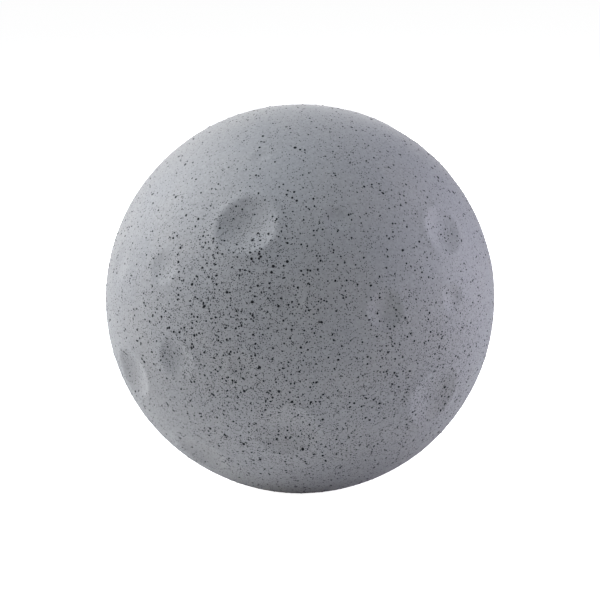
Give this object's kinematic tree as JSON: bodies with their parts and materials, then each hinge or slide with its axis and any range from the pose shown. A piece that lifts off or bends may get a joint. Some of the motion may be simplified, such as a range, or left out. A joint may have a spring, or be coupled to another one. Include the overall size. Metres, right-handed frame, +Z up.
{
  "type": "foam stress ball",
  "caption": "Squeezable foam ball made to look like a small moon, with shallow craters, a matt grey coat and a fine black paint speckle.",
  "frame": {"origin": "centre of the ball", "axes": "+Z up out of the ball's top, -Y towards the front; the ball rests on the point where -Z leaves it"},
  "size_m": [0.0701, 0.0701, 0.0702],
  "materials": {
    "foam": "matte",
    "skin": "matte",
    "grey_coat": "matte",
    "black_paint": "satin"
  },
  "bodies": {
    "root": {"foam_core": "foam", "integral_skin": "skin", "base_coat": "grey_coat", "speckle_drops": "black_paint"}
  },
  "joints": []
}
